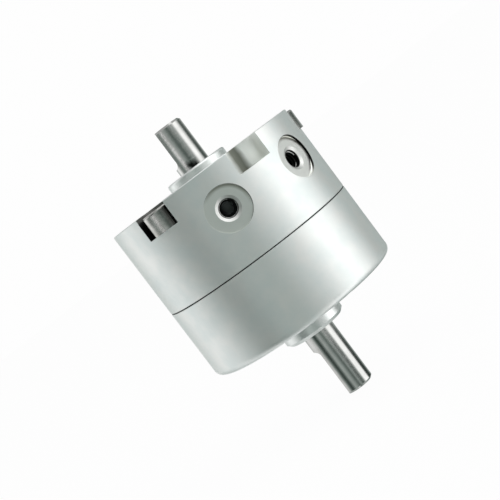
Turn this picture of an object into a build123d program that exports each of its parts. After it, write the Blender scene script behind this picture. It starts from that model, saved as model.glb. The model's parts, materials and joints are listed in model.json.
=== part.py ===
from build123d import *
from build123d.topology import SkipClean
import os
from math import acos, cos, degrees, radians, sin, tan

# Vane-type pneumatic rotary actuator with a shaft end on both sides, in millimetres and degrees.
# The origin is the centre of the lower mounting face and +Z runs along the shaft, towards the ported
# half. Directions round the shaft are angles from -Y towards +X: -Y lies midway between the two ports.

os.makedirs("parts", exist_ok=True)

# Clearances and small laps
fit_clearance = 0.02
seal_clearance = 0.05
running_clearance = 0.3
overcut = 1.0

# Housing halves
body_diameter = 50.0
lower_body_height = 18.3
upper_body_height = 22.2
joint_edge_chamfer = 0.2
top_edge_chamfer = 0.2
bottom_edge_round = 1.65
pilot_diameter = 16.0
upper_pilot_height = 1.9
upper_pilot_round = 0.55
lower_pilot_height = 4.9
lower_pilot_chamfer = 0.8
chamber_wall = 2.4
bearing_end_wall = 1.1

# Screw pockets in the top rim, every second one for a mounting bolt
screw_edge_distance = 3.5
fastener_count = 3
pocket_width = 9.0
pocket_depth = 5.7
mounting_hole_diameter = 4.3
mounting_hole_chamfer = 0.4

# Cap screws that hold the halves together, and their dowels
screw_diameter = 5.0
screw_length = 25.0
screw_head_diameter = 8.5
screw_head_height = 5.0
screw_head_round = 0.5
screw_socket_width = 4.0
screw_socket_depth = 2.5
screw_hole_clearance = 0.1
screw_end_room = 1.6
dowel_diameter = 3.0
dowel_length = 8.0
dowel_end_room = 0.2
dowel_chamfer = 0.3

# Air ports
port_angle = 25.0
port_drop = 9.8
port_face_diameter = 10.6
port_face_depth = 1.0
port_thread_diameter = 4.2
port_thread_depth = 5.0
port_mouth_diameter = 5.8
port_mouth_angle = 120.0
port_passage_diameter = 3.0

# Shaft
shaft_diameter = 8.0
journal_diameter = 10.0
neck_diameter = 7.6
neck_mouth_setback = 0.1
upper_shaft_reach = 13.4
lower_shaft_reach = 21.8
shaft_end_chamfer = 0.5
upper_flat_length = 8.3
upper_flat_depth = 1.1
lower_flat_length = 11.3
lower_flat_depth = 1.1
flat_cutter_radius = 1.5
centre_drill_diameter = 2.0
centre_drill_angle = 60.0

# Vane, its hub, key and seal
rest_angle = -116.0
swing = 270.0
hub_diameter = 13.0
vane_half_angle = 27.0
limit_gap = 0.3
vane_strip_width = 1.6
vane_strip_depth = 1.5
vane_relief_diameter = 4.8
vane_relief_depth = 2.0
key_width = 3.0
key_height = 3.0
key_length = 12.0
key_depth_in_shaft = 1.8
key_top_clearance = 0.1

# Stopper with its seal, pads and pins
stopper_half_angle = 180.0 - swing / 2 - vane_half_angle
stopper_end_gap = 0.15
stopper_strip_width = 1.6
stopper_strip_depth = 1.5
pad_proud = 0.5
pad_sunk = 0.5
pad_width = 5.0
pad_height = 12.0
pad_corner = 1.0
stopper_pin_diameter = 1.2
stopper_pin_edge_distance = 1.85
stopper_pin_bite = 3.0

# Shaft bearings, seal holders and rings
bearing_diameter = 16.0
bearing_width = 4.0
bearing_edge_chamfer = 0.2
ball_diameter = 2.38
ball_count = 8
race_clearance = 0.05
race_shoulder = 0.44
cage_thickness = 0.9
cage_web = 0.36
race_relief_depth = 0.3
seal_holder_length = 3.0
shaft_seal_thickness = 1.5
body_seal_thickness = 1.0
groove_clearance = 0.1

# Worked out from the sizes above
body_radius = body_diameter / 2
body_height = lower_body_height + upper_body_height
pilot_radius = pilot_diameter / 2
screw_radius = screw_diameter / 2
screw_hole_radius = screw_radius + screw_hole_clearance
bolt_circle_radius = body_radius - screw_edge_distance
chamber_radius = bolt_circle_radius - screw_hole_radius - chamber_wall
end_depth = bearing_end_wall + bearing_width + seal_holder_length
chamber_floor = end_depth
chamber_ceiling = body_height - end_depth
chamber_height = chamber_ceiling - chamber_floor
chamber_middle = (chamber_floor + chamber_ceiling) / 2
pocket_floor = body_height - pocket_depth
port_height = body_height - port_drop
port_face_radius = body_radius - port_face_depth
shaft_radius = shaft_diameter / 2
journal_radius = journal_diameter / 2
neck_radius = neck_diameter / 2
hub_radius = hub_diameter / 2
stopper_inner_radius = hub_radius + running_clearance
stopper_outer_radius = chamber_radius - stopper_end_gap
stopper_pin_distance = stopper_outer_radius - stopper_pin_edge_distance
pad_centre_radius = (stopper_inner_radius + stopper_outer_radius) / 2
contact_setback = limit_gap / 2
flank_setback = contact_setback + pad_proud
pad_bed_setback = (flank_setback + pad_sunk) / cos(radians(stopper_half_angle))
pad_bed_distance = stopper_pin_distance * tan(radians(stopper_half_angle)) - pad_bed_setback
stopper_pin_offset = (stopper_strip_width / 2 + pad_bed_distance) / 2
lower_shaft_end = -lower_shaft_reach
upper_shaft_end = body_height + upper_shaft_reach
bearing_radius = bearing_diameter / 2
ball_radius = ball_diameter / 2
ball_circle_radius = (shaft_radius + bearing_radius) / 2
shaft_hole_radius = shaft_radius + running_clearance
half_turn_in_reach = 180.0 - swing / 2

# Angles of the fasteners and ports, from -Y towards +X
screw_start_angle = 60.0
mounting_start_angle = 0.0
dowel_angles = (90.0, -90.0)
port_angles = (-port_angle, port_angle)


def place(radius, angle, height=0.0):
    """Point at a radius and height, at an angle from -Y towards +X."""
    return (radius * sin(radians(angle)), -radius * cos(radians(angle)), height)


def side_plane(angle):
    """Plane through the shaft's axis: local x is outward along the angle, local y is up."""
    across = (-cos(radians(angle)), -sin(radians(angle)), 0)
    return Plane(origin=(0, 0, 0), x_dir=place(1, angle), z_dir=across)


def outward_plane(radius, angle, height):
    """Plane that faces straight out from the shaft's axis."""
    tangent = (cos(radians(angle)), sin(radians(angle)), 0)
    return Plane(origin=place(radius, angle, height), x_dir=tangent, z_dir=place(1, angle))


def wedge(angle, half_angle, setback):
    """Corners of a wedge whose two flanks lie a setback inside the radial planes at half_angle."""
    apex = setback / sin(radians(half_angle))
    reach = 2 * body_radius / cos(radians(half_angle))
    left = place(reach, angle - half_angle)
    right = place(reach, angle + half_angle)
    tip = Vector(*place(apex, angle))
    return [tip, tip + Vector(*right), tip + Vector(*left)]


# Each shaft end is one stack, drawn as radius and distance out from the chamber's end face
end_planes = {
    "lower": Plane(origin=(0, 0, chamber_floor), x_dir=(1, 0, 0), z_dir=(0, 1, 0)),
    "upper": Plane(origin=(0, 0, chamber_ceiling), x_dir=(1, 0, 0), z_dir=(0, -1, 0)),
}
bearing_start = seal_holder_length
bearing_end = bearing_start + bearing_width
bearing_middle = bearing_start + bearing_width / 2
inner_race_radius = ball_circle_radius - ball_radius + race_shoulder
outer_race_radius = ball_circle_radius + ball_radius - race_shoulder
relief_radius = (ball_circle_radius + outer_race_radius) / 2
end_bore = [
    (0, -overcut),
    (bearing_radius, -overcut),
    (bearing_radius, bearing_end),
    (relief_radius, bearing_end),
    (relief_radius, bearing_end + race_relief_depth),
    (shaft_hole_radius, bearing_end + race_relief_depth),
    (shaft_hole_radius, body_height),
    (0, body_height),
]

# Upper body: the ported half, an aluminium casting turned and milled all over
dowel_depth = dowel_length / 2 + dowel_end_room
with BuildPart() as upper_body:
    with BuildSketch(Plane.XY.offset(lower_body_height)):
        Circle(body_radius)
    extrude(amount=upper_body_height)
    chamfer(upper_body.edges().sort_by(Axis.Z)[0], joint_edge_chamfer)
    chamfer(upper_body.edges().group_by(Axis.Z)[-1], top_edge_chamfer)
    with BuildSketch(Plane.XY.offset(body_height)):
        Circle(pilot_radius)
    extrude(amount=upper_pilot_height)
    fillet(upper_body.edges().group_by(Axis.Z)[-1], upper_pilot_round)
    with BuildSketch(Plane.XY.offset(lower_body_height)):
        Circle(chamber_radius)
    extrude(amount=chamber_ceiling - lower_body_height, mode=Mode.SUBTRACT)
    with BuildSketch(end_planes["upper"]):
        with BuildLine():
            Polyline(*end_bore, close=True)
        make_face()
    revolve(axis=Axis.Z, mode=Mode.SUBTRACT)
    with BuildSketch(Plane.XY.offset(pocket_floor)):
        with PolarLocations(bolt_circle_radius, 2 * fastener_count, start_angle=mounting_start_angle - 90):
            Circle(pocket_width / 2)
            Rectangle(body_radius, pocket_width, align=(Align.MIN, Align.CENTER))
    extrude(amount=pocket_depth + overcut, mode=Mode.SUBTRACT)
    with BuildSketch(Plane.XY.offset(lower_body_height)):
        with PolarLocations(bolt_circle_radius, fastener_count, start_angle=screw_start_angle - 90):
            Circle(screw_hole_radius)
        with PolarLocations(bolt_circle_radius, fastener_count, start_angle=mounting_start_angle - 90):
            Circle(mounting_hole_diameter / 2)
    extrude(amount=upper_body_height, mode=Mode.SUBTRACT)
    with BuildSketch(Plane.XY.offset(lower_body_height)):
        with Locations(*[place(bolt_circle_radius, angle) for angle in dowel_angles]):
            Circle(dowel_diameter / 2 + fit_clearance)
    extrude(amount=dowel_depth, mode=Mode.SUBTRACT)
    with BuildSketch(Plane.XY.offset(chamber_ceiling)):
        for side in (-1, 1):
            with Locations((side * stopper_pin_offset, -stopper_pin_distance)):
                Circle(stopper_pin_diameter / 2 + fit_clearance)
    extrude(amount=stopper_pin_bite + fit_clearance, mode=Mode.SUBTRACT)
    for angle in port_angles:
        port_plane = outward_plane(port_face_radius, angle, port_height)
        with BuildSketch(port_plane):
            Circle(port_face_diameter / 2)
        extrude(amount=body_radius, mode=Mode.SUBTRACT)
        with Locations(port_plane):
            CounterSinkHole(
                port_thread_diameter / 2, port_mouth_diameter / 2, port_thread_depth, port_mouth_angle
            )
        with BuildSketch(port_plane):
            Circle(port_passage_diameter / 2)
        extrude(amount=chamber_radius - overcut - port_face_radius, mode=Mode.SUBTRACT)
upper_body.part.label = "upper_body"
export_step(upper_body.part, "parts/upper_body.step")

# Lower body: the blind half with the long pilot, tapped for the cap screws
body_seal_radius = (chamber_radius + bolt_circle_radius - screw_hole_radius) / 2
screw_end = pocket_floor - screw_length
with BuildPart() as lower_body:
    with BuildSketch():
        Circle(body_radius)
    extrude(amount=lower_body_height)
    chamfer(lower_body.edges().group_by(Axis.Z)[-1], joint_edge_chamfer)
    fillet(lower_body.edges().group_by(Axis.Z)[0], bottom_edge_round)
    with BuildSketch():
        Circle(pilot_radius)
    extrude(amount=-lower_pilot_height)
    chamfer(lower_body.edges().group_by(Axis.Z)[0], lower_pilot_chamfer)
    with BuildSketch(Plane.XY.offset(chamber_floor)):
        Circle(chamber_radius)
    extrude(amount=lower_body_height, mode=Mode.SUBTRACT)
    with BuildSketch(end_planes["lower"]):
        with BuildLine():
            Polyline(*end_bore, close=True)
        make_face()
    revolve(axis=Axis.Z, mode=Mode.SUBTRACT)
    with BuildSketch(Plane.XY.offset(screw_end - screw_end_room)):
        with PolarLocations(bolt_circle_radius, fastener_count, start_angle=screw_start_angle - 90):
            Circle(screw_radius + fit_clearance)
    extrude(amount=lower_body_height, mode=Mode.SUBTRACT)
    with BuildSketch():
        with PolarLocations(bolt_circle_radius, fastener_count, start_angle=mounting_start_angle - 90):
            Circle(mounting_hole_diameter / 2)
    extrude(amount=lower_body_height, mode=Mode.SUBTRACT)
    mounting_mouths = (
        lower_body.edges()
        .filter_by(GeomType.CIRCLE)
        .filter_by(lambda edge: abs(edge.radius - mounting_hole_diameter / 2) < fit_clearance)
        .group_by(Axis.Z)[0]
    )
    chamfer(mounting_mouths, mounting_hole_chamfer)
    with BuildSketch(Plane.XY.offset(lower_body_height)):
        with Locations(*[place(bolt_circle_radius, angle) for angle in dowel_angles]):
            Circle(dowel_diameter / 2 + fit_clearance)
    extrude(amount=-dowel_depth, mode=Mode.SUBTRACT)
    with BuildSketch(Plane.XY.offset(chamber_floor)):
        for side in (-1, 1):
            with Locations((side * stopper_pin_offset, -stopper_pin_distance)):
                Circle(stopper_pin_diameter / 2 + fit_clearance)
    extrude(amount=-stopper_pin_bite - fit_clearance, mode=Mode.SUBTRACT)
    groove_half_width = (body_seal_thickness + groove_clearance) / 2
    with BuildSketch(Plane.XY.offset(lower_body_height)):
        Circle(body_seal_radius + groove_half_width)
        Circle(body_seal_radius - groove_half_width, mode=Mode.SUBTRACT)
    extrude(amount=-body_seal_thickness - fit_clearance, mode=Mode.SUBTRACT)
lower_body.part.label = "lower_body"
export_step(lower_body.part, "parts/lower_body.step")

# Body seal: the O-ring in the joint face, between the chamber and the screw holes
with BuildPart() as body_seal:
    with Locations((0, 0, lower_body_height - body_seal_thickness / 2)):
        Torus(body_seal_radius, body_seal_thickness / 2)
body_seal.part.label = "body_seal"
export_step(body_seal.part, "parts/body_seal.step")

# Cap screws: three socket head screws whose heads sit in every second pocket
with BuildPart() as body_screws:
    with PolarLocations(bolt_circle_radius, fastener_count, start_angle=screw_start_angle - 90):
        with Locations((0, 0, screw_end)):
            Cylinder(screw_radius, screw_length, align=(Align.CENTER, Align.CENTER, Align.MIN))
        with Locations((0, 0, pocket_floor)):
            head_align = (Align.CENTER, Align.CENTER, Align.MIN)
            Cylinder(screw_head_diameter / 2, screw_head_height, align=head_align)
    fillet(body_screws.edges().group_by(Axis.Z)[-1], screw_head_round)
    chamfer(body_screws.edges().group_by(Axis.Z)[0], screw_head_round)
    with BuildSketch(Plane.XY.offset(pocket_floor + screw_head_height)):
        with PolarLocations(bolt_circle_radius, fastener_count, start_angle=screw_start_angle - 90):
            RegularPolygon(screw_socket_width / 2, 6, major_radius=False)
    extrude(amount=-screw_socket_depth, mode=Mode.SUBTRACT)
body_screws.part.label = "body_screws"
export_step(body_screws.part, "parts/body_screws.step")

# Dowels: two hardened pins that line up the halves
with BuildPart() as body_dowels:
    with BuildSketch(Plane.XY.offset(lower_body_height - dowel_length / 2)):
        with Locations(*[place(bolt_circle_radius, angle) for angle in dowel_angles]):
            Circle(dowel_diameter / 2)
    extrude(amount=dowel_length)
    chamfer(body_dowels.edges().filter_by(GeomType.CIRCLE), dowel_chamfer)
body_dowels.part.label = "body_dowels"
export_step(body_dowels.part, "parts/body_dowels.step")

# Stopper: the fixed block between the ports that splits the chamber, with flanks the vane stops on
loop_inner = hub_radius + seal_clearance + stopper_strip_depth
loop_outer = chamber_radius - stopper_strip_depth
loop_low = chamber_floor + stopper_strip_depth
loop_high = chamber_ceiling - stopper_strip_depth
loop_hole = [
    (loop_inner, loop_low),
    (loop_outer, loop_low),
    (loop_outer, loop_high),
    (loop_inner, loop_high),
]
pad_planes = {}
for side_name, side in (("left", -1), ("right", 1)):
    flank_angle = side * stopper_half_angle
    along = Vector(*place(1, flank_angle))
    away = Vector(cos(radians(flank_angle)), sin(radians(flank_angle)), 0) * side
    pad_centre = along * pad_centre_radius - away * flank_setback + Vector(0, 0, chamber_middle)
    pad_planes[side_name] = Plane(origin=pad_centre, x_dir=along, z_dir=away)
with BuildPart() as stopper:
    with BuildSketch(Plane.XY.offset(chamber_floor + stopper_end_gap)):
        with BuildLine():
            Polyline(*wedge(0, stopper_half_angle, flank_setback), close=True)
        make_face()
        Circle(stopper_outer_radius, mode=Mode.INTERSECT)
        Circle(stopper_inner_radius, mode=Mode.SUBTRACT)
    extrude(amount=chamber_height - 2 * stopper_end_gap)
    with BuildSketch(side_plane(0)):
        with BuildLine():
            Polyline(
                (0, chamber_floor),
                (body_radius, chamber_floor),
                (body_radius, chamber_ceiling),
                (0, chamber_ceiling),
                close=True,
            )
        make_face()
        with BuildLine():
            Polyline(*loop_hole, close=True)
        make_face(mode=Mode.SUBTRACT)
    extrude(amount=stopper_strip_width / 2, both=True, mode=Mode.SUBTRACT)
    for pad_plane in pad_planes.values():
        with BuildSketch(pad_plane):
            RectangleRounded(pad_width, pad_height, pad_corner)
        extrude(amount=-pad_sunk, mode=Mode.SUBTRACT)
    with BuildSketch(Plane.XY.offset(chamber_floor)):
        for side in (-1, 1):
            with Locations((side * stopper_pin_offset, -stopper_pin_distance)):
                Circle(stopper_pin_diameter / 2 + fit_clearance)
    extrude(amount=chamber_height, mode=Mode.SUBTRACT)
stopper.part.label = "stopper"
export_step(stopper.part, "parts/stopper.step")

# Stopper seal: a rubber loop round the stopper, against the hub, the wall and both end faces
with BuildPart() as stopper_seal:
    with BuildSketch(side_plane(0)):
        with BuildLine():
            Polyline(
                (0, chamber_floor),
                (chamber_radius, chamber_floor),
                (chamber_radius, chamber_ceiling),
                (0, chamber_ceiling),
                close=True,
            )
        make_face()
        with BuildLine():
            Polyline(*loop_hole, close=True)
        make_face(mode=Mode.SUBTRACT)
    extrude(amount=stopper_strip_width / 2, both=True)
    with BuildSketch(Plane.XY.offset(chamber_floor)):
        Circle(chamber_radius)
        Circle(hub_radius + seal_clearance, mode=Mode.SUBTRACT)
    extrude(amount=chamber_height, mode=Mode.INTERSECT)
stopper_seal.part.label = "stopper_seal"
export_step(stopper_seal.part, "parts/stopper_seal.step")

# Stopper pins: two dowels through the stopper into both end faces
with BuildPart() as stopper_pins:
    with BuildSketch(Plane.XY.offset(chamber_floor - stopper_pin_bite)):
        for side in (-1, 1):
            with Locations((side * stopper_pin_offset, -stopper_pin_distance)):
                Circle(stopper_pin_diameter / 2)
    extrude(amount=chamber_height + 2 * stopper_pin_bite)
stopper_pins.part.label = "stopper_pins"
export_step(stopper_pins.part, "parts/stopper_pins.step")

# Stop pads: rubber cushions let into the stopper's flanks, one for each end of the swing
for side_name, pad_plane in pad_planes.items():
    with BuildPart() as stop_pad:
        with BuildSketch(pad_plane.offset(-pad_sunk)):
            RectangleRounded(pad_width, pad_height, pad_corner)
        extrude(amount=pad_sunk + pad_proud)
    stop_pad.part.label = f"stop_pad_{side_name}"
    export_step(stop_pad.part, f"parts/stop_pad_{side_name}.step")

# Shaft: one turned and ground bar. It is relieved inside each pilot, between the bearing's seat and the
# shaft's end. The ends are turned on last, so that an edge stays where each flat begins.
upper_shoulder = chamber_ceiling + bearing_start
lower_shoulder = chamber_floor - bearing_start
upper_seat_end = chamber_ceiling + bearing_end
lower_seat_end = chamber_floor - bearing_end
upper_neck_end = body_height + upper_pilot_height - neck_mouth_setback
lower_neck_end = -lower_pilot_height + neck_mouth_setback
upper_flat_start = upper_shaft_end - upper_flat_length
lower_flat_start = lower_shaft_end + lower_flat_length
key_seat_radius = journal_radius - key_depth_in_shaft
flat_side = side_plane(rest_angle)
drill_depth = centre_drill_diameter / 2 / tan(radians(centre_drill_angle / 2))
with BuildPart() as vane_shaft:
    with BuildSketch(flat_side):
        with BuildLine():
            Polyline(
                (0, lower_flat_start),
                (shaft_radius, lower_flat_start),
                (shaft_radius, lower_neck_end),
                (neck_radius, lower_neck_end),
                (neck_radius, lower_seat_end),
                (shaft_radius, lower_seat_end),
                (shaft_radius, lower_shoulder),
                (journal_radius, lower_shoulder),
                (journal_radius, upper_shoulder),
                (shaft_radius, upper_shoulder),
                (shaft_radius, upper_seat_end),
                (neck_radius, upper_seat_end),
                (neck_radius, upper_neck_end),
                (shaft_radius, upper_neck_end),
                (shaft_radius, upper_flat_start),
                (0, upper_flat_start),
                close=True,
            )
        make_face()
    revolve(axis=Axis.Z)
    with BuildSketch(outward_plane(key_seat_radius, rest_angle, chamber_middle)):
        SlotOverall(key_length, key_width, rotation=90)
    extrude(amount=key_height, mode=Mode.SUBTRACT)
    with SkipClean():
        for tip, inward, flat_start, depth in (
            (upper_shaft_end, -1, upper_flat_start, upper_flat_depth),
            (lower_shaft_end, 1, lower_flat_start, lower_flat_depth),
        ):
            with BuildSketch(flat_side):
                with BuildLine():
                    Polyline(
                        (0, flat_start),
                        (shaft_radius, flat_start),
                        (shaft_radius, tip + inward * shaft_end_chamfer),
                        (shaft_radius - shaft_end_chamfer, tip),
                        (centre_drill_diameter / 2, tip),
                        (0, tip + inward * drill_depth),
                        close=True,
                    )
                make_face()
            revolve(axis=Axis.Z, clean=False)
            flat_radius = shaft_radius - depth
            turn = -inward * degrees(acos(1 - depth / flat_cutter_radius))
            with BuildSketch(flat_side):
                with BuildLine():
                    flat_line = Line((flat_radius, tip - inward * overcut), (flat_radius, flat_start))
                    run_out = JernArc(flat_line @ 1, flat_line % 1, flat_cutter_radius, turn)
                    Polyline(run_out @ 1, (shaft_radius, tip - inward * overcut), flat_line @ 0)
                make_face()
            extrude(amount=shaft_diameter, both=True, mode=Mode.SUBTRACT, clean=False)
vane_shaft.part.label = "vane_shaft"
export_step(vane_shaft.part, "parts/vane_shaft.step")

# Key: round-ended parallel key that drives the shaft from the vane's hub
with BuildPart() as vane_key:
    with BuildSketch(outward_plane(key_seat_radius, rest_angle, chamber_middle)):
        SlotOverall(key_length, key_width, rotation=90)
    extrude(amount=key_height)
vane_key.part.label = "vane_key"
export_step(vane_key.part, "parts/vane_key.step")

# Vane: hub and wing in one piece, grooved along its three free edges for the seal
vane_low = chamber_floor + running_clearance
vane_high = chamber_ceiling - running_clearance
vane_tip_radius = chamber_radius - running_clearance
seal_low = chamber_floor + seal_clearance
seal_high = chamber_ceiling - seal_clearance
seal_tip_radius = chamber_radius - seal_clearance
vane_groove = [
    (hub_radius, seal_low),
    (chamber_radius, seal_low),
    (chamber_radius, seal_high),
    (hub_radius, seal_high),
    (hub_radius, vane_high - vane_strip_depth),
    (vane_tip_radius - vane_strip_depth, vane_high - vane_strip_depth),
    (vane_tip_radius - vane_strip_depth, vane_low + vane_strip_depth),
    (hub_radius, vane_low + vane_strip_depth),
]
with BuildPart() as vane:
    with BuildSketch(Plane.XY.offset(vane_low)):
        with BuildLine():
            Polyline(*wedge(rest_angle, vane_half_angle, contact_setback), close=True)
        make_face()
        Circle(hub_radius)
        Circle(vane_tip_radius, mode=Mode.INTERSECT)
        Circle(journal_radius + fit_clearance, mode=Mode.SUBTRACT)
    extrude(amount=vane_high - vane_low)
    with BuildSketch(outward_plane(0, rest_angle, chamber_middle)):
        Rectangle(key_width, chamber_height)
    extrude(amount=key_seat_radius + key_height + key_top_clearance, mode=Mode.SUBTRACT)
    with BuildSketch(side_plane(rest_angle)):
        with BuildLine():
            Polyline(*vane_groove, close=True)
        make_face()
    extrude(amount=vane_strip_width / 2, both=True, mode=Mode.SUBTRACT)
    port_lead = half_turn_in_reach - port_angle
    for relief_angle in (rest_angle - port_lead, rest_angle + port_lead):
        with BuildSketch(outward_plane(vane_tip_radius - vane_relief_depth, relief_angle, port_height)):
            Circle(vane_relief_diameter / 2)
        extrude(amount=body_radius, mode=Mode.SUBTRACT)
vane.part.label = "vane"
export_step(vane.part, "parts/vane.step")

# Vane seal: a rubber strip bent round the wing's top, tip and bottom edges
with BuildPart() as vane_seal:
    with BuildSketch(side_plane(rest_angle)):
        with BuildLine():
            Polyline(*vane_groove, close=True)
        make_face()
    extrude(amount=vane_strip_width / 2, both=True)
    with BuildSketch(Plane.XY.offset(chamber_floor)):
        Circle(seal_tip_radius)
        Circle(hub_radius, mode=Mode.SUBTRACT)
    extrude(amount=chamber_height, mode=Mode.INTERSECT)
vane_seal.part.label = "vane_seal"
export_step(vane_seal.part, "parts/vane_seal.step")

# Shaft ends: a seal holder with its O-ring, then a ball bearing of two rings, balls and a cage
seal_groove_width = shaft_seal_thickness + groove_clearance
seal_groove_start = (seal_holder_length - race_relief_depth - seal_groove_width) / 2
shaft_seal_radius = journal_radius + seal_clearance + shaft_seal_thickness / 2
holder_bore_radius = journal_radius + fit_clearance + groove_clearance
seal_groove_radius = shaft_seal_radius + shaft_seal_thickness / 2 + groove_clearance
race_radius = ball_radius + race_clearance
cage_half_height = race_radius + cage_web
for end, end_plane in end_planes.items():
    outward = end_plane.y_dir.Z
    seal_height = end_plane.origin.Z + outward * (seal_groove_start + seal_groove_width / 2)
    ball_height = end_plane.origin.Z + outward * bearing_middle

    with BuildPart() as seal_holder:
        with BuildSketch(end_plane):
            with BuildLine():
                Polyline(
                    (holder_bore_radius, 0),
                    (bearing_radius - fit_clearance, 0),
                    (bearing_radius - fit_clearance, seal_holder_length),
                    (relief_radius, seal_holder_length),
                    (relief_radius, seal_holder_length - race_relief_depth),
                    (holder_bore_radius, seal_holder_length - race_relief_depth),
                    (holder_bore_radius, seal_groove_start + seal_groove_width),
                    (seal_groove_radius, seal_groove_start + seal_groove_width),
                    (seal_groove_radius, seal_groove_start),
                    (holder_bore_radius, seal_groove_start),
                    close=True,
                )
            make_face()
        revolve(axis=Axis.Z)
    seal_holder.part.label = f"{end}_seal_holder"
    export_step(seal_holder.part, f"parts/{end}_seal_holder.step")

    with BuildPart() as shaft_seal:
        with Locations((0, 0, seal_height)):
            Torus(shaft_seal_radius, shaft_seal_thickness / 2)
    shaft_seal.part.label = f"{end}_shaft_seal"
    export_step(shaft_seal.part, f"parts/{end}_shaft_seal.step")

    for ring, ring_inner, ring_outer in (
        ("inner", shaft_radius + fit_clearance, inner_race_radius),
        ("outer", outer_race_radius, bearing_radius - fit_clearance),
    ):
        with BuildPart() as bearing_ring:
            with BuildSketch(end_plane):
                with Locations(((ring_inner + ring_outer) / 2, bearing_middle)):
                    Rectangle(ring_outer - ring_inner, bearing_width)
                chamfer(vertices(), bearing_edge_chamfer)
                with Locations((ball_circle_radius, bearing_middle)):
                    Circle(race_radius, mode=Mode.SUBTRACT)
            revolve(axis=Axis.Z)
        bearing_ring.part.label = f"{end}_bearing_{ring}_ring"
        export_step(bearing_ring.part, f"parts/{end}_bearing_{ring}_ring.step")

    with BuildPart() as bearing_balls:
        with Locations((0, 0, ball_height)):
            with PolarLocations(ball_circle_radius, ball_count, start_angle=-90):
                Sphere(ball_radius)
    bearing_balls.part.label = f"{end}_bearing_balls"
    export_step(bearing_balls.part, f"parts/{end}_bearing_balls.step")

    with BuildPart() as bearing_cage:
        with BuildSketch(Plane.XY.offset(ball_height - cage_half_height)):
            Circle(ball_circle_radius + cage_thickness / 2)
            Circle(ball_circle_radius - cage_thickness / 2, mode=Mode.SUBTRACT)
        extrude(amount=2 * cage_half_height)
        for ball in range(ball_count):
            with BuildSketch(outward_plane(0, ball * 360 / ball_count, ball_height)):
                Circle(race_radius)
            extrude(amount=bearing_radius, mode=Mode.SUBTRACT)
    bearing_cage.part.label = f"{end}_bearing_cage"
    export_step(bearing_cage.part, f"parts/{end}_bearing_cage.step")
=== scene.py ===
import json
from math import cos, pi, radians, sin

import bpy
from mathutils import Matrix, Vector


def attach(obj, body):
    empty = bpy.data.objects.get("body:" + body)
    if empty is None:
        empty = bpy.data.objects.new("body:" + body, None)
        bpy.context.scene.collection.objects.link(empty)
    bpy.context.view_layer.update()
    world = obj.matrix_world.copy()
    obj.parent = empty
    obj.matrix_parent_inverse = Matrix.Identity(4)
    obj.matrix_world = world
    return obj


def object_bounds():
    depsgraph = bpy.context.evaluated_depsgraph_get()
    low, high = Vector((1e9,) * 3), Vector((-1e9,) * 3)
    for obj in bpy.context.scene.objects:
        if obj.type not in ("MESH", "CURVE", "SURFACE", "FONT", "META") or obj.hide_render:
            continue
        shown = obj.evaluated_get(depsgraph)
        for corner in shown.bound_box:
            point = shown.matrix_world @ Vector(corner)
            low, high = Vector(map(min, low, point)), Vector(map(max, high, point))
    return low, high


# The frame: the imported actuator, standing on its long shaft end, in metres. +Z runs along the shaft and
# -Y lies midway between the two ports. Directions round the shaft are angles from -Y towards +X.
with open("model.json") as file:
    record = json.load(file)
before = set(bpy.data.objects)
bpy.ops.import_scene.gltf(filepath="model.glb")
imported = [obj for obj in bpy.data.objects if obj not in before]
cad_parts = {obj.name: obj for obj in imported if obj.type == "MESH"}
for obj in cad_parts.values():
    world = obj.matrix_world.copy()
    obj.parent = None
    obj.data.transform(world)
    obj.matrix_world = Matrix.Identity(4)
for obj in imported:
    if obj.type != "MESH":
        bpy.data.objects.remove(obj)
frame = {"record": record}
cad_low, cad_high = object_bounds()
mounts = {mount["name"]: mount for mount in frame["record"]["mounts"]}
millimetre = 0.001

# Housing halves: two aluminium castings, turned all over and tumbled to a fine satin, which three cap
# screws hold together. The pockets, spot faces and ports are milled last, so they show the cutter's
# marks, and a dark line of oil stands in the joint.
body_radius = cad_high.x
body_height = 40.5 * millimetre
joint_height = 18.3 * millimetre
pocket_floor = 34.8 * millimetre
port_angle = radians(25.0)
port_height = mounts["left_port"]["pos_m"][2]
spot_face_radius = 5.3 * millimetre
mouth_radius = 2.9 * millimetre
thread_radius = 2.1 * millimetre

# The masks of the cuts lie this far past, or inside, the edges that they follow.
edge_lap = 0.05 * millimetre
thread_lap = 0.12 * millimetre
skin_inset = 0.15 * millimetre


# A finish is drawn by shader groups that read the piece's own object coordinates, so that grain, tool
# marks and wear stay in place on it. These helpers build such a group.
def new_group(name, inputs, outputs):
    """An empty shader group with named inputs and outputs, and its two end nodes."""
    tree = bpy.data.node_groups.new(name, "ShaderNodeTree")
    for label, kind, value in inputs:
        socket = tree.interface.new_socket(label, in_out="INPUT", socket_type="NodeSocket" + kind)
        socket.default_value = value
    for label, kind in outputs:
        tree.interface.new_socket(label, in_out="OUTPUT", socket_type="NodeSocket" + kind)
    return tree, tree.nodes.new("NodeGroupInput").outputs, tree.nodes.new("NodeGroupOutput").inputs


def add(tree, kind, values=None, **settings):
    """A node with its settings, whose inputs are given as plain values or as sockets to link."""
    made = tree.nodes.new(kind)
    for name, value in settings.items():
        setattr(made, name, value)
    for name, value in (values or {}).items():
        if isinstance(name, str):
            socket = next(s for s in made.inputs if s.name == name and s.enabled)
        else:
            socket = made.inputs[name]
        if isinstance(value, bpy.types.NodeSocket):
            tree.links.new(value, socket)
        else:
            socket.default_value = value
    return made


def out(made, name="Result"):
    """The output of a node that is in use under a name."""
    return next(s for s in made.outputs if s.name == name and s.enabled)


def math(tree, operation, *values):
    """A math node on one to three numbers or sockets."""
    return add(tree, "ShaderNodeMath", dict(enumerate(values)), operation=operation).outputs[0]


def hypotenuse(tree, a, b):
    """The length of the long side of a right triangle with sides a and b."""
    return math(tree, "SQRT", math(tree, "MULTIPLY_ADD", a, a, math(tree, "MULTIPLY", b, b)))


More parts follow.
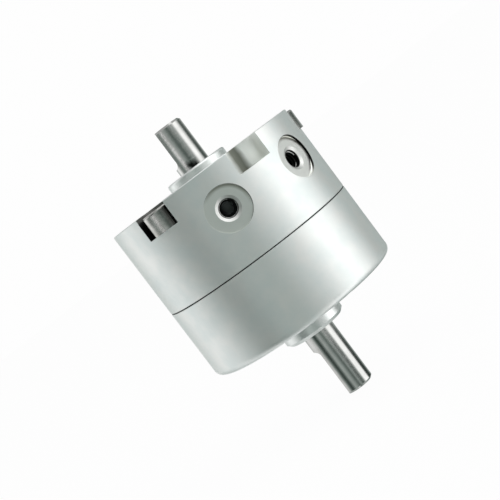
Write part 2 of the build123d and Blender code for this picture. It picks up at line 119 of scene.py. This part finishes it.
def fade(tree, value, start, end):
    """How far a value has come from a start to an end, from 0 to 1."""
    return out(add(tree, "ShaderNodeMapRange", {"Value": value, "From Min": start, "From Max": end}))


def mixed(tree, share, first, second, kind="RGBA"):
    """A mix of two colours, or of two numbers where the kind is FLOAT."""
    return out(add(tree, "ShaderNodeMix", {"Factor": share, "A": first, "B": second}, data_type=kind))


def on_piece(tree):
    """The object coordinates, which stay in place on a piece when it moves."""
    return add(tree, "ShaderNodeTexCoord").outputs["Object"]


def noise(tree, place, scale, detail, roughness=0.5, dimensions="3D"):
    """Soft noise from 0 to 1 at a place, which is a point, or a number where it has one dimension."""
    values = {"W" if dimensions == "1D" else "Vector": place, "Scale": scale, "Detail": detail}
    values["Roughness"] = roughness
    return add(tree, "ShaderNodeTexNoise", values, noise_dimensions=dimensions).outputs["Fac"]


# Grain: the dull, slightly uneven skin of tumbled, turned or moulded metal, rubber and plastic.
# Wide patches shift the colour and the gloss, and a fine grain roughens the surface.
grain, given, result = new_group(
    "grain",
    [
        ("Colour", "Color", (0.8, 0.8, 0.8, 1)),
        ("Patch Colour", "Color", (0.7, 0.7, 0.7, 1)),
        ("Patches Per Metre", "Float", 150.0),
        ("Grains Per Metre", "Float", 5000.0),
        ("Grain Depth", "Float", 0.00001),
        ("Roughness", "Float", 0.35),
        ("Roughness Spread", "Float", 0.1),
    ],
    [("Colour", "Color"), ("Roughness", "Float"), ("Normal", "Vector")],
)
place_on_piece = on_piece(grain)
patches = noise(grain, place_on_piece, given["Patches Per Metre"], 3.0, 0.55)
grains = noise(grain, place_on_piece, given["Grains Per Metre"], 2.0, 0.6)
patch_share = fade(grain, patches, 0.35, 0.65)
patched = mixed(grain, patch_share, given["Colour"], given["Patch Colour"])
spread = given["Roughness Spread"]
uneven = math(grain, "MULTIPLY_ADD", math(grain, "SUBTRACT", grains, 0.5), spread, given["Roughness"])
drift = math(grain, "MULTIPLY_ADD", math(grain, "SUBTRACT", patches, 0.5), spread, uneven)
raised = add(grain, "ShaderNodeBump", {"Height": grains, "Distance": given["Grain Depth"], "Strength": 1.0})
grain.links.new(patched, result["Colour"])
grain.links.new(drift, result["Roughness"])
grain.links.new(raised.outputs["Normal"], result["Normal"])

# Turning marks: the fine rings that a lathe or grinding wheel leaves around the shaft's axis. The sum of
# radius and height draws them on end faces and on round sides alike, and noise makes them uneven.
turning, given, result = new_group(
    "turning_marks",
    [
        ("Rings Per Metre", "Float", 4000.0),
        ("Ring Depth", "Float", 0.000004),
        ("Normal", "Vector", (0, 0, 0)),
    ],
    [("Normal", "Vector")],
)
split = add(turning, "ShaderNodeSeparateXYZ", {"Vector": on_piece(turning)}).outputs
ring_place = math(turning, "ADD", hypotenuse(turning, split["X"], split["Y"]), split["Z"])
rings = noise(turning, ring_place, given["Rings Per Metre"], 2.0, 0.7, "1D")
ring_bump = add(
    turning,
    "ShaderNodeBump",
    {"Height": rings, "Distance": given["Ring Depth"], "Normal": given["Normal"], "Strength": 1.0},
)
turning.links.new(ring_bump.outputs["Normal"], result["Normal"])


def finish(slot_name, skin_values, shader_values, ring_values=None):
    """Gives a record slot its grain, its turning marks if it has them, and the shader's own constants."""
    tree = bpy.data.materials[slot_name].node_tree
    principled = next(n for n in tree.nodes if n.type == "BSDF_PRINCIPLED")
    for name, value in shader_values.items():
        principled.inputs[name].default_value = value
    skin = add(tree, "ShaderNodeGroup", node_tree=grain)
    for name, value in skin_values.items():
        skin.inputs[name].default_value = value
    normal = skin.outputs["Normal"]
    if ring_values:
        marks = add(tree, "ShaderNodeGroup", node_tree=turning)
        for name, value in ring_values.items():
            marks.inputs[name].default_value = value
        tree.links.new(normal, marks.inputs["Normal"])
        normal = marks.outputs["Normal"]
    tree.links.new(skin.outputs["Colour"], principled.inputs["Base Color"])
    tree.links.new(skin.outputs["Roughness"], principled.inputs["Roughness"])
    tree.links.new(normal, principled.inputs["Normal"])
    return tree, principled, skin.outputs


# Milled cuts: masks over what was cut after the tumbling, over the dark oil line in the joint, and over
# painted shade in the pockets, spot faces and port bores. The two ports mirror each other, so one reckoning
# from the distance to the side serves both.
cuts, given, result = new_group(
    "milled_cuts",
    [
        ("Skin Radius", "Float", 0.025),
        ("Pocket Floor", "Float", 0.035),
        ("Rim Height", "Float", 0.04),
        ("Shade Streak Middle", "Float", 0.0),
        ("Shade Streak Half Width", "Float", 0.001),
        ("Port Angle", "Float", 0.4),
        ("Port Height", "Float", 0.03),
        ("Spot Face Radius", "Float", 0.005),
        ("Mouth Radius", "Float", 0.003),
        ("Thread Radius", "Float", 0.002),
        ("Joint Height", "Float", 0.02),
        ("Joint Half Width", "Float", 0.00014),
    ],
    [
        ("Pocket", "Float"),
        ("Shade Streak", "Float"),
        ("Screw Pocket", "Float"),
        ("Spot Face", "Float"),
        ("Mouth", "Float"),
        ("Wall Shadow", "Float"),
        ("Corner", "Float"),
        ("Bore", "Float"),
        ("Joint", "Float"),
        ("Pilot", "Float"),
    ],
)


def below(tree, value, limit, softness=0.03 * millimetre):
    """1 where a value is under its limit, fading to 0 over a small softness."""
    return fade(tree, math(tree, "SUBTRACT", limit, value), -softness, softness)


def all_of(tree, *masks):
    """The product of masks."""
    product = masks[0]
    for mask in masks[1:]:
        product = math(tree, "MULTIPLY", product, mask)
    return product


# Places on the halves: the radius and bearing round the shaft, and for a port how far out a point lies
# along the port's axis, and its distance from that axis.
cut_place = on_piece(cuts)
split = add(cuts, "ShaderNodeSeparateXYZ", {"Vector": cut_place}).outputs
radius = hypotenuse(cuts, split["X"], split["Y"])
bearing = math(cuts, "ARCTAN2", split["X"], math(cuts, "MULTIPLY", split["Y"], -1.0))
to_side = math(cuts, "ABSOLUTE", split["X"])
cosine = math(cuts, "COSINE", given["Port Angle"])
sine = math(cuts, "SINE", given["Port Angle"])
across = math(cuts, "MULTIPLY_ADD", to_side, cosine, math(cuts, "MULTIPLY", split["Y"], sine))
outward = math(
    cuts, "SUBTRACT", math(cuts, "MULTIPLY", to_side, sine), math(cuts, "MULTIPLY", split["Y"], cosine)
)
rise = math(cuts, "SUBTRACT", split["Z"], given["Port Height"])
port_distance = hypotenuse(cuts, across, rise)
to_right = math(cuts, "MULTIPLY", across, math(cuts, "SIGN", split["X"]))

# Pockets: six round the rim. The cosine of three times the bearing is under zero at the three that hold
# a cap screw, whose walls are painted dark as shade, and an uneven dark streak of painted shade runs down
# the wall of the one between the ports.
past_floor = below(cuts, given["Pocket Floor"], split["Z"])
under_rim = below(cuts, split["Z"], given["Rim Height"])
inside_skin = below(cuts, radius, given["Skin Radius"])
pocket = all_of(cuts, past_floor, under_rim, inside_skin)
third_wave = math(cuts, "COSINE", math(cuts, "MULTIPLY", bearing, 3.0))
shade_streak_wander = 1.2 * millimetre
shade_streak_edge = noise(cuts, cut_place, 300.0, 1.0)
shade_streak_place = math(
    cuts, "MULTIPLY_ADD", math(cuts, "SUBTRACT", shade_streak_edge, 0.5), shade_streak_wander, split["X"]
)
from_shade_streak = math(cuts, "ABSOLUTE", math(cuts, "SUBTRACT", shade_streak_place, given["Shade Streak Middle"]))
shade_streaked = below(cuts, from_shade_streak, given["Shade Streak Half Width"], 0.5 * millimetre)

# Spot faces: the cutter's wall round the core is painted near black on one side, near the skin, as painted
# shade, and a painted shadow lies on the face under the wall on the upper side.
port_side = 10.0 * millimetre
wall_width = 0.1 * millimetre
shade_reach = 0.4 * millimetre
in_front = math(cuts, "GREATER_THAN", outward, port_side)
spot = all_of(cuts, in_front, below(cuts, port_distance, given["Spot Face Radius"]))
core_radius = math(cuts, "SUBTRACT", given["Spot Face Radius"], wall_width)
core = below(cuts, port_distance, core_radius)
spot_wall = math(cuts, "SUBTRACT", spot, all_of(cuts, in_front, core))
near_skin = below(cuts, math(cuts, "SUBTRACT", given["Skin Radius"], shade_reach), radius)
shade_side = math(cuts, "MULTIPLY_ADD", rise, 0.6, to_right)
shaded_side = fade(cuts, shade_side, -3.0 * millimetre, 1.0 * millimetre)
upper_side = math(cuts, "MULTIPLY_ADD", rise, 0.8, math(cuts, "MULTIPLY", to_right, 0.6))
topside = fade(cuts, upper_side, 1.0 * millimetre, 4.0 * millimetre)
from_wall = math(cuts, "SUBTRACT", given["Spot Face Radius"], port_distance)
near_wall = fade(cuts, from_wall, 1.0 * millimetre, 0.3 * millimetre)

# Port bores: painted shade, dark inside the thread, apart from the crest of the thread's first turn, which
# keeps the bare metal's colour.
first_turn_start = 22.5 * millimetre
first_turn_height = 0.18 * millimetre
crest_radius = math(cuts, "SUBTRACT", given["Thread Radius"], first_turn_height)
first_turn = all_of(
    cuts,
    math(cuts, "GREATER_THAN", outward, first_turn_start),
    math(cuts, "LESS_THAN", port_distance, crest_radius),
)
in_bore = all_of(cuts, in_front, below(cuts, port_distance, given["Thread Radius"]))

# Joint line and pilots: heights alone tell these.
off_joint = math(cuts, "ABSOLUTE", math(cuts, "SUBTRACT", split["Z"], given["Joint Height"]))
over_rim = math(cuts, "GREATER_THAN", split["Z"], given["Rim Height"])
under_foot = math(cuts, "LESS_THAN", split["Z"], -edge_lap)
for name, value in (
    ("Pocket", pocket),
    ("Shade Streak", math(cuts, "MULTIPLY", pocket, shade_streaked)),
    ("Screw Pocket", math(cuts, "MULTIPLY", pocket, math(cuts, "LESS_THAN", third_wave, 0.0))),
    ("Spot Face", spot),
    ("Wall Shadow", all_of(cuts, in_front, core, topside, near_wall)),
    ("Corner", all_of(cuts, shaded_side, spot_wall, near_skin)),
    ("Mouth", all_of(cuts, in_front, below(cuts, port_distance, given["Mouth Radius"]))),
    ("Bore", math(cuts, "MULTIPLY", in_bore, math(cuts, "SUBTRACT", 1.0, first_turn))),
    ("Joint", below(cuts, off_joint, given["Joint Half Width"])),
    ("Pilot", math(cuts, "MAXIMUM", over_rim, under_foot)),
):
    cuts.links.new(value, result[name])

# Satin aluminium over both halves, with each cut's own colour and gloss, painted shade among them, laid over
# it in turn.
tree, principled, skin = finish(
    "cast_aluminium",
    {
        "Colour": (0.85, 0.87, 0.85, 1),
        "Patch Colour": (0.78, 0.83, 0.818, 1),
        "Patches Per Metre": 180.0,
        "Grains Per Metre": 7000.0,
        "Grain Depth": 0.000012,
        "Roughness": 0.44,
        "Roughness Spread": 0.12,
    },
    {"Metallic": 1.0},
    {"Rings Per Metre": 3500.0, "Ring Depth": 0.000006},
)
cut = add(
    tree,
    "ShaderNodeGroup",
    {
        "Skin Radius": body_radius - skin_inset,
        "Pocket Floor": pocket_floor - edge_lap,
        "Rim Height": body_height - edge_lap,
        "Shade Streak Middle": 1.1 * millimetre,
        "Shade Streak Half Width": 1.15 * millimetre,
        "Port Angle": port_angle,
        "Port Height": port_height,
        "Spot Face Radius": spot_face_radius + edge_lap,
        "Mouth Radius": mouth_radius,
        "Thread Radius": thread_radius + thread_lap,
        "Joint Height": joint_height,
        "Joint Half Width": 0.13 * millimetre,
    },
    node_tree=cuts,
).outputs
colour = skin["Colour"]
gloss = skin["Roughness"]
# The dark streak in the pocket between the ports, the screw pockets' walls, the shadow under the spot faces'
# upper wall, their near-black wall and the dark bores are painted shade.
for mask, cut_colour, cut_roughness in (
    ("Pilot", (0.83, 0.86, 0.845, 1), 0.32),
    ("Pocket", (0.92, 0.94, 0.915, 1), 0.46),
    ("Shade Streak", (0.28, 0.29, 0.25, 1), 0.4),
    ("Screw Pocket", (0.18, 0.18, 0.17, 1), 0.4),
    ("Spot Face", (0.95, 0.965, 0.93, 1), 0.3),
    ("Wall Shadow", (0.42, 0.42, 0.37, 1), 0.35),
    ("Mouth", (0.70, 0.71, 0.69, 1), 0.4),
    ("Corner", (0.012, 0.012, 0.012, 1), 0.6),
    ("Bore", (0.03, 0.032, 0.03, 1), 0.5),
    ("Joint", (0.03, 0.03, 0.03, 1), 0.6),
):
    colour = mixed(tree, cut[mask], colour, cut_colour)
    gloss = mixed(tree, cut[mask], gloss, cut_roughness, "FLOAT")
tree.links.new(colour, principled.inputs["Base Color"])
tree.links.new(gloss, principled.inputs["Roughness"])


# Port threads: the M5 thread cut with a tap in the aluminium of each air port, drawn as one helical ridge
# that stands in from the port's wall. A geometry-node tree sweeps the ridge, and both ports get a copy.
def thread_tree():
    """Sweeps a ridge along a helix and sets it at each point it is given, along the point's own axis."""
    tree = bpy.data.node_groups.new("thread", "GeometryNodeTree")
    for label, kind in (
        ("Port Starts", "Geometry"),
        ("Wall Radius", "Float"),
        ("Pitch", "Float"),
        ("Turns", "Float"),
        ("Ridge Height", "Float"),
        ("Metal", "Material"),
    ):
        tree.interface.new_socket(label, in_out="INPUT", socket_type="NodeSocket" + kind)
    tree.interface.new_socket("Threads", in_out="OUTPUT", socket_type="NodeSocketGeometry")
    given = tree.nodes.new("NodeGroupInput").outputs
    helix = add(
        tree,
        "GeometryNodeCurveSpiral",
        {
            "Resolution": 40,
            "Rotations": given["Turns"],
            "Start Radius": given["Wall Radius"],
            "End Radius": given["Wall Radius"],
            "Height": math(tree, "MULTIPLY", given["Pitch"], given["Turns"]),
            "Reverse": False,
        },
    )
    ridge = add(tree, "GeometryNodeCurvePrimitiveCircle", {"Resolution": 6, "Radius": given["Ridge Height"]})
    swept = add(
        tree,
        "GeometryNodeCurveToMesh",
        {"Curve": helix.outputs["Curve"], "Profile Curve": ridge.outputs["Curve"], "Fill Caps": True},
    )
    axis = add(tree, "GeometryNodeInputNamedAttribute", {"Name": "axis"}, data_type="FLOAT_VECTOR")
    upright = add(tree, "FunctionNodeAlignRotationToVector", {"Vector": out(axis, "Attribute")}, axis="Z")
    copies = add(
        tree,
        "GeometryNodeInstanceOnPoints",
        {
            "Points": given["Port Starts"],
            "Instance": swept.outputs["Mesh"],
            "Rotation": upright.outputs["Rotation"],
        },
    )
    real = add(tree, "GeometryNodeRealizeInstances", {"Geometry": copies.outputs["Instances"]})
    metal = add(
        tree, "GeometryNodeSetMaterial", {"Geometry": real.outputs["Geometry"], "Material": given["Metal"]}
    )
    tree.links.new(metal.outputs["Geometry"], tree.nodes.new("NodeGroupOutput").inputs["Threads"])
    return tree


def made_mesh(name, points, faces=()):
    """A mesh object from points and faces in the frame's own coordinates."""
    mesh = bpy.data.meshes.new(name)
    mesh.from_pydata(points, [], faces)
    made = bpy.data.objects.new(name, mesh)
    bpy.context.scene.collection.objects.link(made)
    return made


def grown(starts, tree, values):
    """The plain mesh that a geometry-node tree makes from an object, in place of that object."""
    modifier = starts.modifiers.new(tree.name, "NODES")
    modifier.node_group = tree
    for item in tree.interface.items_tree:
        if item.item_type == "SOCKET" and item.name in values:
            modifier[item.identifier] = values[item.name]
    starts.update_tag()
    graph = bpy.context.evaluated_depsgraph_get()
    mesh = bpy.data.meshes.new_from_object(starts.evaluated_get(graph))
    starts.modifiers.remove(modifier)
    starts.data = mesh
    return starts


thread_deep_end = 1.35 * millimetre
ports = [mounts[name] for name in ("left_port", "right_port")]
axes = [Vector(port["axis"]) for port in ports]
threads = made_mesh("port_threads", [Vector(p["pos_m"]) - a * thread_deep_end for p, a in zip(ports, axes)])
axis_of = threads.data.attributes.new("axis", "FLOAT_VECTOR", "POINT")
for value, axis in zip(axis_of.data, axes):
    value.vector = axis
threads = grown(
    threads,
    thread_tree(),
    {
        "Wall Radius": thread_radius,
        "Pitch": 0.8 * millimetre,
        "Turns": 4.9,
        "Ridge Height": 0.17 * millimetre,
        "Metal": bpy.data.materials["cast_aluminium"],
    },
)
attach(threads, "housing")

# Vane and stopper: aluminium, sawn from bar and milled. The stopper is pinned to the halves between the
# ports, and the vane's hub is keyed to the shaft.
finish(
    "vane_aluminium",
    {
        "Colour": (0.72, 0.73, 0.74, 1),
        "Patch Colour": (0.64, 0.65, 0.66, 1),
        "Patches Per Metre": 250.0,
        "Grains Per Metre": 9000.0,
        "Grain Depth": 0.00001,
        "Roughness": 0.38,
        "Roughness Spread": 0.15,
    },
    {"Metallic": 1.0},
    {"Rings Per Metre": 5000.0, "Ring Depth": 0.000008},
)

# Seals: black nitrile rubber with a film of grease, moulded as rings, a loop and a strip. They lie in
# grooves of the halves, the seal holders, the stopper and the vane.
finish(
    "seal_rubber",
    {
        "Colour": (0.022, 0.022, 0.023, 1),
        "Patch Colour": (0.035, 0.034, 0.033, 1),
        "Patches Per Metre": 700.0,
        "Grains Per Metre": 8000.0,
        "Grain Depth": 0.000015,
        "Roughness": 0.42,
        "Roughness Spread": 0.25,
    },
    {"Metallic": 0.0},
)

# Stop pads: a harder brown-black rubber, dull and dusty, moulded as small blocks. They are let into the
# stopper's flanks, where the vane comes to rest.
finish(
    "pad_rubber",
    {
        "Colour": (0.06, 0.045, 0.035, 1),
        "Patch Colour": (0.09, 0.07, 0.055, 1),
        "Patches Per Metre": 600.0,
        "Grains Per Metre": 6000.0,
        "Grain Depth": 0.00002,
        "Roughness": 0.65,
        "Roughness Spread": 0.2,
    },
    {"Metallic": 0.0},
)

# Pins, dowels and key: hardened steel, ground grey. The dowels line up the halves, the pins hold the
# stopper, and the key drives the shaft.
finish(
    "pin_steel",
    {
        "Colour": (0.55, 0.55, 0.55, 1),
        "Patch Colour": (0.45, 0.45, 0.46, 1),
        "Patches Per Metre": 600.0,
        "Grains Per Metre": 12000.0,
        "Grain Depth": 0.000004,
        "Roughness": 0.25,
        "Roughness Spread": 0.12,
    },
    {"Metallic": 1.0},
    {"Rings Per Metre": 9000.0, "Ring Depth": 0.000003},
)

# Seal holders: brass rings, turned on a lathe and set in each half behind the bearing, round the shaft's
# O-ring.
finish(
    "holder_brass",
    {
        "Colour": (0.80, 0.62, 0.33, 1),
        "Patch Colour": (0.70, 0.50, 0.24, 1),
        "Patches Per Metre": 350.0,
        "Grains Per Metre": 8000.0,
        "Grain Depth": 0.000005,
        "Roughness": 0.28,
        "Roughness Spread": 0.12,
    },
    {"Metallic": 1.0},
    {"Rings Per Metre": 6000.0, "Ring Depth": 0.000008},
)

# Bearing rings and balls: chromium steel, hardened, ground and polished on the tracks. The outer rings
# are pressed into the halves and the inner rings onto the shaft.
finish(
    "bearing_steel",
    {
        "Colour": (0.72, 0.72, 0.72, 1),
        "Patch Colour": (0.66, 0.66, 0.67, 1),
        "Patches Per Metre": 600.0,
        "Grains Per Metre": 15000.0,
        "Grain Depth": 0.0000015,
        "Roughness": 0.09,
        "Roughness Spread": 0.06,
    },
    {"Metallic": 1.0},
    {"Rings Per Metre": 15000.0, "Ring Depth": 0.0000015},
)

# Ball cages: moulded nylon, cream coloured and dull, which keep the eight balls of a bearing evenly
# spaced between its rings.
finish(
    "cage_plastic",
    {
        "Colour": (0.72, 0.66, 0.52, 1),
        "Patch Colour": (0.66, 0.59, 0.44, 1),
        "Patches Per Metre": 400.0,
        "Grains Per Metre": 9000.0,
        "Grain Depth": 0.000012,
        "Roughness": 0.48,
        "Roughness Spread": 0.15,
    },
    {"Metallic": 0.0, "Subsurface Weight": 0.1, "Subsurface Scale": 0.0005},
)

# Shaft: one bar of carbon steel, turned, ground and left bright, with a flat milled on each end. Fine
# scratches run round it, and a ragged patch of painted shade darkens its front where it comes out of the
# upper bearing.
shade_patch_top = 41.8 * millimetre
shade_patch_offset = 0.5 * millimetre
shade_patch_half_width = 1.1 * millimetre
ragged_top = -3.5 * millimetre
ragged_side = 2.0 * millimetre
tree, principled, skin = finish(
    "shaft_steel",
    {
        "Colour": (0.60, 0.605, 0.59, 1),
        "Patch Colour": (0.53, 0.535, 0.52, 1),
        "Patches Per Metre": 300.0,
        "Grains Per Metre": 12000.0,
        "Grain Depth": 0.000002,
        "Roughness": 0.11,
        "Roughness Spread": 0.1,
    },
    {"Metallic": 1.0},
    {"Rings Per Metre": 12000.0, "Ring Depth": 0.0000025},
)
# Painted shade: a ragged dark patch on the front of the upper shaft, just above the rim.
place_on_shaft = on_piece(tree)
split = add(tree, "ShaderNodeSeparateXYZ", {"Vector": place_on_shaft}).outputs
blotches = noise(tree, place_on_shaft, 500.0, 2.0)
edge = math(tree, "MULTIPLY_ADD", blotches, ragged_top, split["Z"])
aside = math(tree, "MULTIPLY_ADD", blotches, ragged_side, math(tree, "ADD", split["X"], shade_patch_offset))
shade_patch = all_of(
    tree,
    math(tree, "GREATER_THAN", split["Z"], body_height),
    math(tree, "LESS_THAN", split["Y"], 0.0),
    below(tree, edge, shade_patch_top, 0.8 * millimetre),
    below(tree, math(tree, "ABSOLUTE", aside), shade_patch_half_width, 0.5 * millimetre),
)
shaded_shaft = mixed(tree, shade_patch, skin["Colour"], (0.02, 0.022, 0.02, 1))
tree.links.new(shaded_shaft, principled.inputs["Base Color"])

# Cap screws: nickel-plated steel, whose heads show faint rings from the lathe. They go through the upper
# half into threads in the lower one. Painted shade darkens the sockets, and the flanks that face the
# pockets' walls.
bolt_circle_radius = body_radius - 3.5 * millimetre
head_top = 39.8 * millimetre
socket_reach = 2.35 * millimetre
unshaded_half_width = 2.8 * millimetre
unshaded_edge = 0.2 * millimetre
tree, principled, skin = finish(
    "screw_steel",
    {
        "Colour": (0.56, 0.56, 0.54, 1),
        "Patch Colour": (0.40, 0.40, 0.38, 1),
        "Patches Per Metre": 500.0,
        "Grains Per Metre": 9000.0,
        "Grain Depth": 0.000004,
        "Roughness": 0.1,
        "Roughness Spread": 0.12,
    },
    {"Metallic": 1.0},
    {"Rings Per Metre": 6000.0, "Ring Depth": 0.000003},
)
split = add(tree, "ShaderNodeSeparateXYZ", {"Vector": on_piece(tree)}).outputs
bearing = math(tree, "ARCTAN2", split["X"], math(tree, "MULTIPLY", split["Y"], -1.0))
full_bearing = math(tree, "ADD", bearing, 2 * pi)
from_screw = math(tree, "SUBTRACT", math(tree, "PINGPONG", full_bearing, pi / 3), pi / 3)
reach = hypotenuse(tree, split["X"], split["Y"])
along = math(
    tree, "SUBTRACT", math(tree, "MULTIPLY", reach, math(tree, "COSINE", from_screw)), bolt_circle_radius
)
beside = math(tree, "MULTIPLY", reach, math(tree, "SINE", from_screw))
from_axis = hypotenuse(tree, along, beside)
# Painted shade: the sockets and the flanks toward the pockets' walls are darkened.
in_socket = all_of(
    tree, below(tree, from_axis, socket_reach), below(tree, split["Z"], head_top - edge_lap)
)
by_wall = all_of(
    tree,
    below(tree, unshaded_half_width, math(tree, "ABSOLUTE", beside), 0.4 * millimetre),
    below(tree, split["Z"], head_top - unshaded_edge),
)
flank_shade = mixed(tree, by_wall, skin["Colour"], (0.07, 0.07, 0.065, 1))
socket_shade = mixed(tree, in_socket, flank_shade, (0.06, 0.06, 0.058, 1))
tree.links.new(socket_shade, principled.inputs["Base Color"])

# Floor: a plain pale floor under the long shaft end, painted matt. The camera sees it as white as the
# backdrop, with a trace of the object's shadow, and polished metal sees the backdrop through it.
floor_reach = 3.0
floor_glow_share = 0.965
white = bpy.data.materials.new("floor_white")
white.use_nodes = True
tree = white.node_tree
paint = tree.nodes["Principled BSDF"]
paint.inputs["Base Color"].default_value = (0.8, 0.8, 0.8, 1)
paint.inputs["Roughness"].default_value = 0.9
light_path = add(tree, "ShaderNodeLightPath").outputs
glow = add(tree, "ShaderNodeEmission", {"Color": (1, 1, 1, 1), "Strength": 1.0}).outputs["Emission"]
seen = math(tree, "MULTIPLY", light_path["Is Camera Ray"], floor_glow_share)
seen_floor = add(tree, "ShaderNodeMixShader", {0: seen, 1: paint.outputs["BSDF"], 2: glow}).outputs["Shader"]
mirrored = math(tree, "MAXIMUM", light_path["Is Glossy Ray"], light_path["Is Transmission Ray"])
clear = add(tree, "ShaderNodeBsdfTransparent").outputs["BSDF"]
floor_skin = add(tree, "ShaderNodeMixShader", {0: mirrored, 1: seen_floor, 2: clear}).outputs["Shader"]
tree.links.new(floor_skin, tree.nodes["Material Output"].inputs["Surface"])
floor = made_mesh(
    "floor",
    [
        (-floor_reach, -floor_reach, cad_low.z),
        (floor_reach, -floor_reach, cad_low.z),
        (floor_reach, floor_reach, cad_low.z),
        (-floor_reach, floor_reach, cad_low.z),
    ],
    [(0, 1, 2, 3)],
)
floor.data.materials.append(white)


# Camera: in front and a little to the left of the port gap, almost level with the ports. The picture
# shows the actuator leaning to the left, so the camera is rolled by that lean.
def place(radius, angle, height=0.0):
    """Point at a radius and height, at an angle from -Y towards +X."""
    return Vector((radius * sin(angle), -radius * cos(angle), height))


view_angle = radians(-26.0)
camera_reach = 0.28449
camera_height = 0.03866
camera_pitch = radians(3.92)
camera_yaw = radians(-0.28)
camera_roll = radians(-36.96)
camera_data = bpy.data.cameras.new("camera")
camera_data.sensor_width = 36.0
camera_data.lens = 87.86
camera = bpy.data.objects.new("camera", camera_data)
bpy.context.scene.collection.objects.link(camera)
heading = Matrix.Rotation(view_angle - camera_yaw, 4, "Z")
tilt = Matrix.Rotation(pi / 2 - camera_pitch, 4, "X")
lean = Matrix.Rotation(camera_roll, 4, "Z")
stand = Matrix.Translation(place(camera_reach, view_angle, camera_height))
camera.matrix_world = stand @ heading @ tilt @ lean
bpy.context.scene.camera = camera

# Studio light: a tent of white cloth round the object, with grey flags that draw the dark bands on the
# metal, and one soft box. The rim row lights the screw heads and the upper shaft end, the foot row lights
# the lower one, and the tent's own bands the rest.

# Bands: each pair is an angle round the shaft's axis, from the camera's side and positive to the right of
# the picture, and the cloth's brightness there.
tent_bands = (
    (-180, 0.95), (-165, 0.9), (-150, 0.55), (-138, 0.52), (-125, 0.9), (-112, 1.1), (-100, 0.97),
    (-86, 0.76), (-72, 0.5), (-60, 0.14), (-45, 0.06), (-36, 0.27), (-25, 0.62), (-8, 0.45), (0, 0.25),
    (8, 0.4), (20, 0.7), (32, 0.8), (45, 0.74), (52, 1.15), (58, 1.62), (70, 1.62), (80, 1.4), (88, 1.3),
    (97, 1.15), (103, 0.78), (117, 0.42), (126, 0.5), (136, 0.72), (150, 0.34), (165, 0.2), (180, 0.95),
)
rim_bands = (
    (-180, 0.9), (-150, 0.6), (-120, 1.5), (-105, 1.0), (-92, 0.35), (-83, 0.2), (-72, 0.24),
    (-64, 0.55), (-55, 1.1), (-45, 1.2), (-36, 0.72), (-27, 0.45), (-13, 0.22), (0, 0.12), (15, 0.16),
    (29, 0.3), (43, 0.5), (52, 1.1), (58, 1.62), (76, 1.62), (88, 1.0), (96, 0.5), (104, 0.1),
    (125, 0.12), (150, 0.55), (180, 0.9),
)
foot_bands = (
    (-180, 0.95), (-150, 0.8), (-129, 1.0), (-103, 1.0), (-86, 0.98), (-76, 0.8), (-66, 0.4),
    (-57, 0.15), (-49, 0.08), (-42, 0.12), (-35, 0.24), (-25, 0.5), (-15, 0.45), (-6, 0.32), (7, 0.13),
    (15, 0.3), (22, 0.36), (30, 0.15), (38, 0.1), (45, 0.25), (52, 0.55), (58, 1.4), (63, 1.62),
    (88, 1.62), (95, 0.9), (101, 0.08), (125, 0.05), (140, 0.3), (160, 0.6), (180, 0.95),
)
brightest = 1.62
roof_foot = 0.4
roof_top = 0.85
roof_cloth = (0.6, 0.6, 0.6, 1)
backdrop_white = 0.99
world = bpy.data.worlds.new("studio")
bpy.context.scene.world = world
world.use_nodes = True
tree = world.node_tree
background = tree.nodes["Background"]
background.inputs["Strength"].default_value = 1.0
direction = add(tree, "ShaderNodeTexCoord").outputs["Generated"]
toward = place(1, view_angle)
to_the_right = place(1, view_angle + pi / 2)
ahead, aside, above = (
    add(tree, "ShaderNodeVectorMath", {0: direction, 1: tuple(way)}, operation="DOT_PRODUCT").outputs["Value"]
    for way in (toward, to_the_right, Vector((0, 0, 1)))
)
turn = math(tree, "ARCTAN2", aside, ahead)
around = math(tree, "MULTIPLY_ADD", turn, 1 / (2 * pi), 0.5)


def wall_of(bands):
    """The colour of a row of cloth round the object, whose grey stretches are slightly green."""
    ramp = add(tree, "ShaderNodeValToRGB", {"Fac": around})
    stops = ramp.color_ramp.elements
    while len(stops) < len(bands):
        stops.new(0.5)
    for stop, (angle, brightness) in zip(stops, bands):
        shade = brightness / brightest
        stop.position = (angle + 180) / 360
        stop.color = (shade * min(1, 0.76 + 0.5 * shade), shade, shade * min(1, 0.9 + 0.2 * shade), 1)
    return ramp.outputs["Color"]


wall = wall_of(tent_bands)
for row_bands, row_foot, row_top in ((rim_bands, -0.018, 0.06), (foot_bands, -0.26, -0.16)):
    over_foot = fade(tree, above, row_foot, row_foot + 0.005)
    past_top = fade(tree, above, row_top, row_top + 0.01)
    wall = mixed(tree, math(tree, "SUBTRACT", over_foot, past_top), wall, wall_of(row_bands))
lit_wall = add(tree, "ShaderNodeVectorMath", {0: wall, "Scale": brightest}, operation="SCALE")
overhead = fade(tree, above, roof_foot, roof_top)
cloth = mixed(tree, overhead, lit_wall.outputs["Vector"], roof_cloth)
camera_ray = add(tree, "ShaderNodeLightPath").outputs["Is Camera Ray"]
shown = mixed(tree, camera_ray, cloth, (backdrop_white, backdrop_white, backdrop_white, 1))
tree.links.new(shown, background.inputs["Color"])

# Soft box: the key light, above and to the right of the camera, aimed at the body.
focus = Vector((0, 0, 0.02))
key_reach = 0.42
key_height = 0.62
key_turn = radians(50.0)
key_data = bpy.data.lights.new("key", "AREA")
key_data.shape = "RECTANGLE"
key_data.size = 0.8
key_data.size_y = 0.8
key_data.energy = 1.6
key = bpy.data.objects.new("key", key_data)
bpy.context.scene.collection.objects.link(key)
key_place = place(key_reach, view_angle + key_turn, key_height)
key_aim = (focus - key_place).to_track_quat("-Z", "Y").to_matrix().to_4x4()
key.matrix_world = Matrix.Translation(key_place) @ key_aim
bpy.context.scene.view_settings.view_transform = "Standard"
